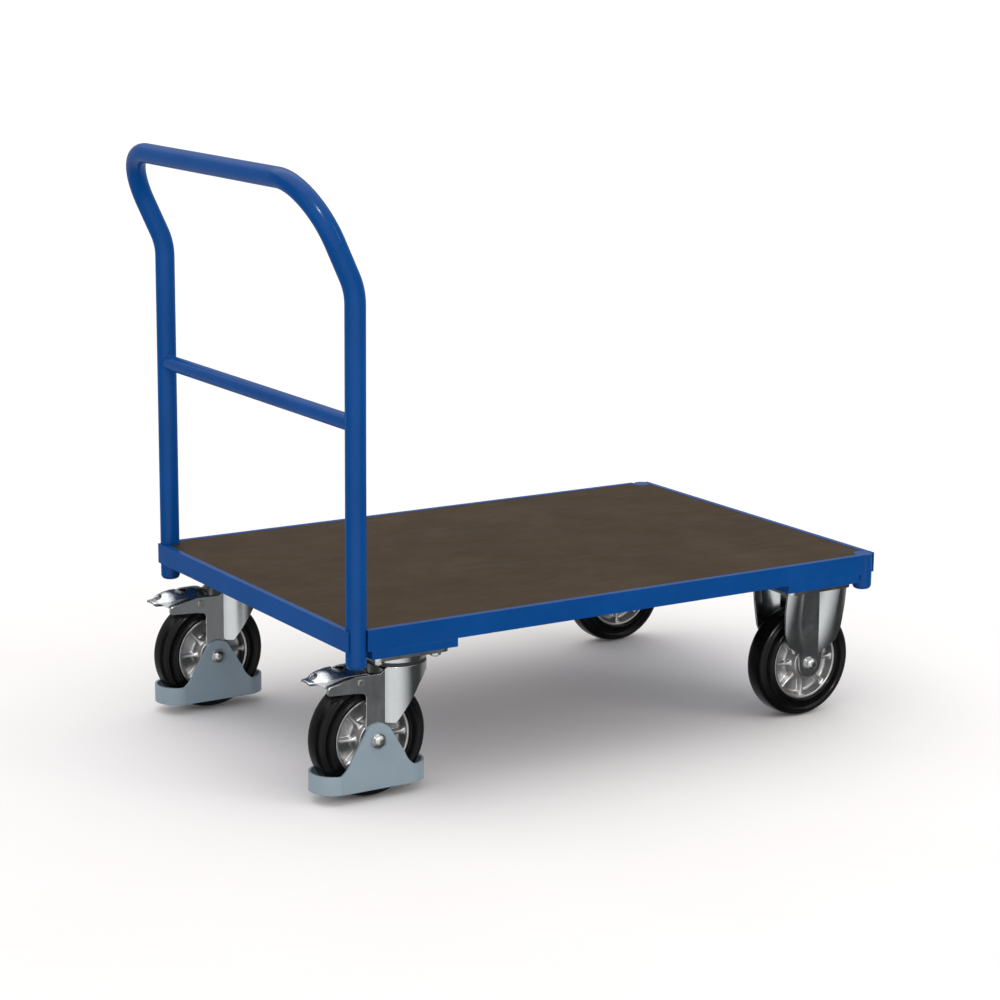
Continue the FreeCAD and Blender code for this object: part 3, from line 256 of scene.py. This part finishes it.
def dull_steel():
    """Dull plated fasteners with fine turning marks."""
    shader = Shader("dark_steel")
    edge, rounded = shader.edges(0.8 * MM)
    stain = shader.remap(shader.noise(120.0, 4.0, 0.6), 0.3, 0.7)
    colour = shader.mix(stain, (0.42, 0.42, 0.41), (0.56, 0.56, 0.55))
    colour = shader.mix(edge, colour, (0.78, 0.78, 0.78))
    normal = shader.bump(shader.noise(1500.0, 3.0), 0.2, 0.06 * MM, rounded)
    return shader.finish(colour, shader.remap(stain, 0.0, 1.0, 0.22, 0.34), normal, 1.0)


def bearing_steel():
    """Ground steel of balls and bearing faces, faintly clouded by grease."""
    shader = Shader("bearing_steel")
    film = shader.remap(shader.noise(240.0, 4.0), 0.35, 0.65)
    colour = shader.mix(film, (0.62, 0.61, 0.58), (0.74, 0.74, 0.74))
    normal = shader.bump(shader.noise(2200.0, 2.0), 0.1, 0.03 * MM)
    return shader.finish(colour, shader.remap(film, 0.0, 1.0, 0.16, 0.3), normal, 1.0)


def cast_aluminium():
    """Die-cast wheel centres: a fine sandy skin with cleaner raised edges, and painted shade darkening
    the pockets near the web.
    """
    shader = Shader("cast_aluminium")
    edge, rounded = shader.edges(1.8 * MM)
    cloud = shader.remap(shader.noise(45.0, 5.0, 0.6), 0.3, 0.7)
    colour = shader.mix(cloud, (0.5, 0.49, 0.48), (0.62, 0.61, 0.6))
    # Painted shade: the wheel centre is painted darker the nearer it lies to its middle plane, deep in
    # the pockets between the ribs.
    painted_shade_depth = shader.math("ABSOLUTE", shader.add(
        "ShaderNodeSeparateXYZ", {"Vector": shader.place}).outputs["Y"])
    colour = shader.mix(shader.remap(painted_shade_depth, 12.0 * MM, 4.0 * MM), colour, (0.4, 0.395, 0.39))
    colour = shader.mix(edge, colour, (0.82, 0.82, 0.82))
    sand = shader.noise(1100.0, 4.0, 0.6)
    normal = shader.bump(sand, 0.32, 0.15 * MM, rounded)
    roughness = shader.remap(cloud, 0.0, 1.0, 0.34, 0.46)
    return shader.finish(colour, roughness, normal, 1.0)


def tyre_rubber():
    """Black elastic rubber, slightly dusty, with a smooth moulded sheen."""
    shader = Shader("tyre_rubber")
    dust = shader.remap(shader.noise(30.0, 5.0, 0.65), 0.45, 0.75)
    colour = shader.mix(dust, (0.0026, 0.0026, 0.0029), (0.0062, 0.006, 0.0058))
    fine = shader.noise(700.0, 4.0, 0.6)
    normal = shader.bump(fine, 0.1, 0.06 * MM)
    roughness = shader.remap(shader.noise(42.0, 4.0), 0.3, 0.7, 0.2, 0.3)
    return shader.finish(colour, roughness, normal, Specular_IOR_Level=0.17)


def black_plastic():
    """Grained black plastic of the race seal."""
    shader = Shader("black_plastic")
    tone = shader.remap(shader.noise(90.0, 4.0), 0.3, 0.7)
    colour = shader.mix(tone, (0.012, 0.012, 0.013), (0.022, 0.022, 0.023))
    normal = shader.bump(shader.noise(1600.0, 3.0), 0.25, 0.06 * MM)
    return shader.finish(colour, shader.remap(tone, 0.0, 1.0, 0.4, 0.55), normal)


MATERIALS = {
    "blue_powder_coat": powder_coat(),
    "blue_plug": plug_plastic(),
    "grey_enamel": guard_enamel(),
    "film_faced_board": film_board(),
    "zinc_plated_steel": zinc_plate(),
    "dark_steel": dull_steel(),
    "bearing_steel": bearing_steel(),
    "cast_aluminium": cast_aluminium(),
    "tyre_rubber": tyre_rubber(),
    "black_plastic": black_plastic(),
}


def paint(obj, name):
    """Give an object one procedural material."""
    obj.data.materials.clear()
    obj.data.materials.append(MATERIALS[name])


for entry in frame["record"]["subparts"]:
    paint(NODES[entry["node"]], entry["material_slot"])


# Pieces -----------------------------------------------------------------------------------------

def solid(name, vertices, faces, sharp=35.0):
    """A smooth-shaded mesh object with outward faces, given in millimetres."""
    mesh = bpy.data.meshes.new(name)
    mesh.from_pydata([(x * MM, y * MM, z * MM) for x, y, z in vertices], [], faces)
    shape = bmesh.new()
    shape.from_mesh(mesh)
    bmesh.ops.recalc_face_normals(shape, faces=shape.faces)
    shape.to_mesh(mesh)
    shape.free()
    obj = bpy.data.objects.new(name, mesh)
    bpy.context.scene.collection.objects.link(obj)
    soften(mesh, sharp)
    return obj


def soften(mesh, sharp):
    """Shade a mesh smooth but for edges sharper than so many degrees."""
    for polygon in mesh.polygons:
        polygon.use_smooth = True
    mesh.set_sharp_from_angle(angle=math.radians(sharp))


def spline(points, steps):
    """A smooth curve through points, with so many steps from each to the next."""
    curve = []
    last = len(points) - 1
    for index in range(last):
        around = (points[max(index - 1, 0)], points[index], points[index + 1],
                  points[min(index + 2, last)])
        for step in range(steps):
            t = step / steps
            curve.append(tuple(
                0.5 * (2 * b + (c - a) * t + (2 * a - 5 * b + 4 * c - d) * t ** 2
                       + (3 * b - a - 3 * c + d) * t ** 3)
                for a, b, c, d in zip(*around)))
    curve.append(points[last])
    return curve


def rings(rows):
    """Faces between closed rows of points; the last row joins the first."""
    across = len(rows[0])
    faces = []
    for row in range(len(rows)):
        near = row * across
        far = (row + 1) % len(rows) * across
        faces += [(near + i, near + (i + 1) % across, far + (i + 1) % across, far + i)
                  for i in range(across)]
    return faces


def lathe(half_profile, segments):
    """A half outline of (radius, y) and its mirror image turned once round the Y axis."""
    profile = half_profile + [(radius, -y) for radius, y in reversed(half_profile) if y > 0.01]
    rows = []
    for segment in range(segments):
        turn = math.tau * segment / segments
        rows.append([(r * math.cos(turn), y, r * math.sin(turn)) for r, y in profile])
    return [point for row in rows for point in row], rings(rows)


def stand_in(obj, node, body, slot):
    """Show a piece in place of a CAD node, in that node's finish."""
    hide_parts(node)
    paint(obj, slot)
    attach(obj, body)


def middle_of(node):
    """The middle of a CAD node's box."""
    low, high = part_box(node)
    return (low + high) * 0.5


def tyre_mesh():
    """A solid tyre with a bead at the rim, a dished wall, a shoulder ridge and a crowned tread."""
    wall = spline([
        (67.6, 17.0), (67.6, 21.6), (69.2, 24.0), (71.6, 24.6), (73.8, 23.6), (75.2, 22.0),
        (79.5, 21.2), (84.0, 21.6), (86.0, 23.4), (88.6, 24.4), (91.0, 23.4), (92.0, 22.0),
        (94.6, 20.9), (97.4, 18.2), (99.0, 14.6), (99.8, 9.0), (100.0, 0.0)], 5)
    return lathe(wall, WHEEL_SEGMENTS)


def rim_mesh():
    """A die-cast wheel centre: hub, dished web, eight flared ribs each side and a thin lip."""
    hub = [(20.5, 0.0), (20.5, 16.0), (23.5, 16.0), (23.5, 29.4), (24.1, 30.0), (28.4, 30.0),
           (29.3, 29.1)]
    web = spline([(29.6, 27.0), (30.4, 16.0), (32.2, 7.4), (36.5, 4.0), (46.0, 3.5), (56.0, 4.2),
                  (60.4, 8.0), (62.2, 15.0), (62.8, 20.6)], 4)
    lip = [(63.4, 21.6), (64.2, 22.0), (66.8, 22.0), (67.4, 21.4), (67.5, 0.0)]
    vertices, faces = lathe(hub + web + lip, WHEEL_SEGMENTS)
    for index in range(RIB_COUNT):
        rib_vertices, rib_faces = rib(math.tau * index / RIB_COUNT)
        faces += [tuple(len(vertices) + i for i in face) for face in rib_faces]
        vertices += rib_vertices
    return vertices, faces


def rib(turn):
    """One rib from hub to lip, thicker towards both ends and dipped between them."""
    rows = []
    for step in range(RIB_STEPS + 1):
        part = step / RIB_STEPS
        radius = 28.5 + 34.8 * part
        half = 2.6 + 4.4 * abs(2 * part - 1) ** 3
        high = 21.0 - 4.2 * part - 2.4 * math.sin(math.pi * part)
        quarter = [(half + 0.5, 3.0), (half, high - 1.4), (half * 0.6, high - 0.2)]
        top = [(-s, y) for s, y in quarter] + [(0.0, high)] + quarter[::-1]
        outline = top + [(-s, -y) for s, y in top]
        rows.append([(radius * math.cos(turn) - side * math.sin(turn), y,
                      radius * math.sin(turn) + side * math.cos(turn)) for side, y in outline])
    across = len(rows[0])
    faces = rings(rows)[:-across]
    faces.append(tuple(range(across)))
    faces.append(tuple(range(RIB_STEPS * across, (RIB_STEPS + 1) * across)))
    return [point for row in rows for point in row], faces


def make_wheels():
    """Detailed tyres and rims in place of the plain turned ones."""
    made = {"tyre": (tyre_mesh(), "tyre_rubber", 50.0),
            "wheel_rim": (rim_mesh(), "cast_aluminium", 32.0)}
    for kind, ((vertices, faces), slot, sharp) in made.items():
        for end in ENDS:
            for side in SIDES:
                node = f"{end}_{side}_{kind}"
                obj = solid(node + "_detail", vertices, faces, sharp)
                obj.location = middle_of(node)
                stand_in(obj, node, f"wheel_{end}_{side}", slot)


def carve(obj, cutters):
    """Cut other objects out of an object, then remove them and bake its modifiers."""
    for cutter in cutters:
        modifier = obj.modifiers.new("carve", "BOOLEAN")
        modifier.object = cutter
        modifier.solver = "EXACT"
    bpy.context.view_layer.update()
    baked = bpy.data.meshes.new_from_object(
        obj.evaluated_get(bpy.context.evaluated_depsgraph_get()))
    obj.modifiers.clear()
    obj.data = baked
    for cutter in cutters:
        bpy.data.objects.remove(cutter)


def upright(name, outline, low, high):
    """A cutter: an outline of (x, y) between two heights."""
    count = len(outline)
    vertices = [(x, y, z) for z in (low, high) for x, y in outline]
    faces = [(i, (i + 1) % count, count + (i + 1) % count, count + i) for i in range(count)]
    faces += [tuple(range(count)), tuple(range(count, 2 * count))]
    return solid(name, vertices, faces)


def oval(middle, long, wide, steps=40):
    """An ellipse on the pedal's middle line."""
    turns = [math.tau * step / steps for step in range(steps)]
    return [(middle + long * math.cos(turn), wide * math.sin(turn)) for turn in turns]


def pedal_rows():
    """The pedal's skin from the pivot end to the tip: rows of points across it."""
    spine = spline([
        # x, top, half width, fall from the middle to the shoulder, lower edge
        (-58.0, 212.5, 26.4, 7.0, 204.5), (-62.0, 218.0, 26.6, 9.5, 201.5),
        (-70.0, 222.0, 26.8, 12.0, 195.0), (-82.0, 222.8, 26.9, 12.8, 191.8),
        (-96.0, 222.8, 26.9, 12.8, 194.5), (-112.0, 222.6, 26.9, 12.8, 190.6),
        (-126.0, 220.6, 26.8, 12.0, 190.4), (-136.0, 218.4, 25.4, 10.5, 194.0),
        (-144.0, 215.4, 22.4, 8.5, 198.2), (-149.0, 210.6, 18.8, 5.0, 201.4),
        (-152.5, 207.6, 16.6, 2.0, 202.8), (-158.0, 206.8, 15.0, 1.4, 203.2),
        (-162.6, 206.6, 13.2, 1.4, 203.2)], 3)
    parts = (-1.0, -0.94, -0.84, -0.7, -0.5, -0.25)
    parts += (0.0,) + tuple(-part for part in reversed(parts))
    rows = []
    for x, top, half, fall, low in spine:
        shoulder = top - fall
        arch = [(part * half, top - fall * abs(part) ** 2.4) for part in parts]
        side = [(half, shoulder - 0.1 * fall), (half, (low + shoulder) / 2), (half, low)]
        row = [(-y, z) for y, z in reversed(side)] + arch + side
        rows.append([(x, y, z) for y, z in row])
    nose = rows[-1]
    lowest = nose[0][2]
    for forward, narrow, down in ((0.9, 0.98, 0.4), (1.3, 0.965, 1.2), (1.3, 0.96, 9.0)):
        rows.append([(x - forward, y * narrow, max(z - down, lowest)) for x, y, z in nose])
    return rows


def grid(rows):
    """Vertices and faces of a sheet given as open rows of points."""
    across = len(rows[0])
    faces = [(r * across + i, r * across + i + 1, (r + 1) * across + i + 1, (r + 1) * across + i)
             for r in range(len(rows) - 1) for i in range(across - 1)]
    return [point for row in rows for point in row], faces


def thicken(obj, face):
    """Give a sheet its thickness on the side away from its top; face is one on the top."""
    shell = obj.modifiers.new("sheet", "SOLIDIFY")
    shell.thickness = PEDAL_SHEET * MM
    shell.offset = -1.0 if obj.data.polygons[face].normal.z >= 0 else 1.0


def round_edges(obj, width):
    """Round an object's sharp edges."""
    bevel = obj.modifiers.new("edge", "BEVEL")
    bevel.width = width * MM
    bevel.segments = 2
    bevel.angle_limit = math.radians(50.0)


def make_pedals():
    """Smooth stamped brake pedals with an oval window and a small hole near the tip."""
    vertices, faces = grid(pedal_rows())
    for side in SIDES:
        node = f"rear_{side}_brake_pedal"
        obj = solid(node + "_detail", vertices, faces, 60.0)
        thicken(obj, len(faces) // 2)
        carve(obj, [
            upright("pedal_window", oval(-110.0, 15.0, 18.0), 200.0, 230.0),
            upright("pedal_hole", oval(-147.5, 5.0, 8.5), 200.0, 230.0)])
        round_edges(obj, 0.5)
        soften(obj.data, 40.0)
        pin = middle_of(f"rear_{side}_brake_rivets")
        obj.location = (pin.x - PEDAL_PIN_X * MM, pin.y, 0.0)
        stand_in(obj, node, f"brake_{side}", "zinc_plated_steel")


def bead_rows(bar, sign):
    """A rippled bead where a bar of this radius meets a post, which is at the origin."""
    turns = 96
    around = 8
    rows = []
    for step in range(turns):
        turn = math.tau * step / turns
        x = bar * math.cos(turn)
        z = bar * math.sin(turn)
        reach = math.sqrt(POST_RADIUS ** 2 - x ** 2)
        ripple = 0.22 * math.sin(turn * 26) + 0.12 * math.sin(turn * 7 + 1.0)
        thick = BEAD_THICKNESS + ripple
        row = []
        for corner in range(around):
            angle = math.tau * corner / around
            out = thick * math.cos(angle)
            row.append((x + out * math.cos(turn), sign * (reach + thick * math.sin(angle)),
                        z + out * math.sin(turn)))
        rows.append(row)
    return rows


def make_crossbar_welds():
    """A bead round each end of the crossbar, whose coped ends stop at the posts."""
    low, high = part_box("push_bar_crossbar")
    centre = middle_of("push_bar_crossbar")
    bar = (high.z - low.z) / 2 / MM
    inset = math.sqrt(POST_RADIUS ** 2 - bar ** 2) * MM
    posts = {"right": (low.y - inset, 1), "left": (high.y + inset, -1)}
    for side, (post_y, sign) in posts.items():
        rows = bead_rows(bar, sign)
        bead = solid(f"crossbar_weld_{side}", [p for row in rows for p in row], rings(rows), 80.0)
        bead.location = (centre.x, post_y, centre.z)
        paint(bead, "blue_powder_coat")
        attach(bead, "platform")


make_wheels()
make_pedals()
make_crossbar_welds()


# Stage ------------------------------------------------------------------------------------------

def floor_paper():
    """Matt studio paper, faintly mottled."""
    shader = Shader("floor_paper")
    tone = shader.remap(shader.noise(3.0, 3.0), 0.3, 0.7)
    colour = shader.mix(tone, (0.87, 0.843, 0.826), (0.882, 0.857, 0.84))
    normal = shader.bump(shader.noise(160.0, 3.0), 0.05, 0.1 * MM)
    return shader.finish(colour, 0.8, normal, Specular_IOR_Level=0.0)


def tent_cloth():
    """Lit cloth, brighter by a trace here and there."""
    shader = Shader("tent_cloth")
    shader.surface.inputs["Emission Color"].default_value = (1.0, 1.0, 1.015, 1.0)
    glow = shader.remap(shader.noise(0.3), 0.3, 0.7, 1.03, 1.06)
    shader.feed(shader.surface.inputs["Emission Strength"], glow)
    normal = shader.bump(shader.noise(200.0), 0.02, 0.1 * MM)
    shader.material.cycles.emission_sampling = "NONE"
    return shader.finish((0.0, 0.0, 0.0, 1.0), 1.0, normal, Specular_IOR_Level=0.0)


def staged(name, vertices, faces, material):
    """A piece of the studio that reflections don't show."""
    mesh = bpy.data.meshes.new(name)
    mesh.from_pydata(vertices, [], faces)
    mesh.materials.append(material)
    obj = bpy.data.objects.new(name, mesh)
    bpy.context.scene.collection.objects.link(obj)
    obj.visible_glossy = False
    obj.visible_shadow = False


def stage():
    """A wide round floor inside a glowing white tent, which lights everything evenly."""
    radius = 16.0
    high = 14.0
    sides = 48
    ring = [(radius * math.cos(math.tau * i / sides), radius * math.sin(math.tau * i / sides))
            for i in range(sides)]
    floor = [(x, y, 0.0) for x, y in ring]
    staged("studio_floor", floor, [tuple(range(sides))], floor_paper())
    tent = [(x, y, z) for z in (0.0, high) for x, y in ring]
    faces = [(i, sides + i, sides + (i + 1) % sides, (i + 1) % sides) for i in range(sides)]
    faces.append(tuple(range(sides, 2 * sides)))
    staged("studio_tent", tent, faces, tent_cloth())


def aimed(name, kind, place, target, power, diffuse=True):
    """A lamp at a place, aimed at a point; without diffuse it only shows in reflections."""
    lamp = bpy.data.lights.new(name, kind)
    lamp.energy = power
    obj = bpy.data.objects.new(name, lamp)
    obj.location = place
    obj.visible_diffuse = diffuse
    obj.rotation_euler = (Vector(target) - Vector(place)).to_track_quat("-Z", "Y").to_euler()
    bpy.context.scene.collection.objects.link(obj)
    return lamp


def softbox(name, place, target, width, height, power, diffuse=True):
    """A rectangular area light."""
    lamp = aimed(name, "AREA", place, target, power, diffuse)
    lamp.shape = "RECTANGLE"
    lamp.size = width
    lamp.size_y = height


def surround():
    """What polished parts mirror: a dim room, bright overhead, in front and behind."""
    world = bpy.data.worlds.new("studio_world")
    bpy.context.scene.world = world
    world.use_nodes = True
    world.cycles_visibility.diffuse = False
    nodes = Nodes(world.node_tree)
    way = nodes.add("ShaderNodeTexCoord").outputs["Generated"]
    up = nodes.dot(way, (0.0, 0.0, 1.0))
    front = nodes.dot(way, (*TOWARDS_CAMERA, 0.0))
    level = nodes.remap(nodes.math("ABSOLUTE", up), 0.85, 0.45)
    glow = nodes.math("MULTIPLY", nodes.remap(front, 0.42, 0.93, 0.0, 1.1), level)
    glow = nodes.math("ADD", glow, nodes.remap(front, -0.25, -0.6, 0.0, 0.3))
    glow = nodes.math("ADD", glow, nodes.remap(up, 0.35, 0.85, 0.05, 1.6))
    background = world.node_tree.nodes["Background"]
    background.inputs["Color"].default_value = (0.97, 0.98, 1.0, 1.0)
    nodes.feed(background.inputs["Strength"], glow)


def studio():
    """A soft overhead light, a softbox to each side and the surround."""
    middle = (cad_box[0] + cad_box[1]) * 0.5
    overhead = aimed("overhead", "SUN", (-0.9, 1.5, 4.0), (0.0, 0.0, 0.0), 0.97)
    overhead.angle = math.radians(76.0)
    softbox("right_key", (2.2, -3.4, 1.9), middle, 1.2, 1.8, 18.0)
    softbox("left_rim", (-3.9, -0.6, 1.3), middle, 0.5, 2.0, 2.5)
    softbox("spark", (-1.46, -2.76, 2.73), (-0.5, -0.3, 0.9), 0.16, 0.16, 60.0, diffuse=False)
    surround()
    bpy.context.scene.view_settings.view_transform = "Standard"


def camera():
    """A long lens to the right rear of the cart, a little above its deck."""
    pitch = math.radians(12.39)
    roll = math.radians(0.54)
    eye = bpy.data.cameras.new("camera")
    eye.sensor_width = 36.0
    eye.lens = 94.86
    obj = bpy.data.objects.new("camera", eye)
    turn = (Matrix.Rotation(-CAMERA_YAW, 4, "Z") @ Matrix.Rotation(math.pi / 2 - pitch, 4, "X")
            @ Matrix.Rotation(roll, 4, "Z"))
    obj.matrix_world = Matrix.Translation((-2.43, -3.8468, 1.3849)) @ turn
    bpy.context.scene.collection.objects.link(obj)
    bpy.context.scene.camera = obj


stage()
studio()
camera()
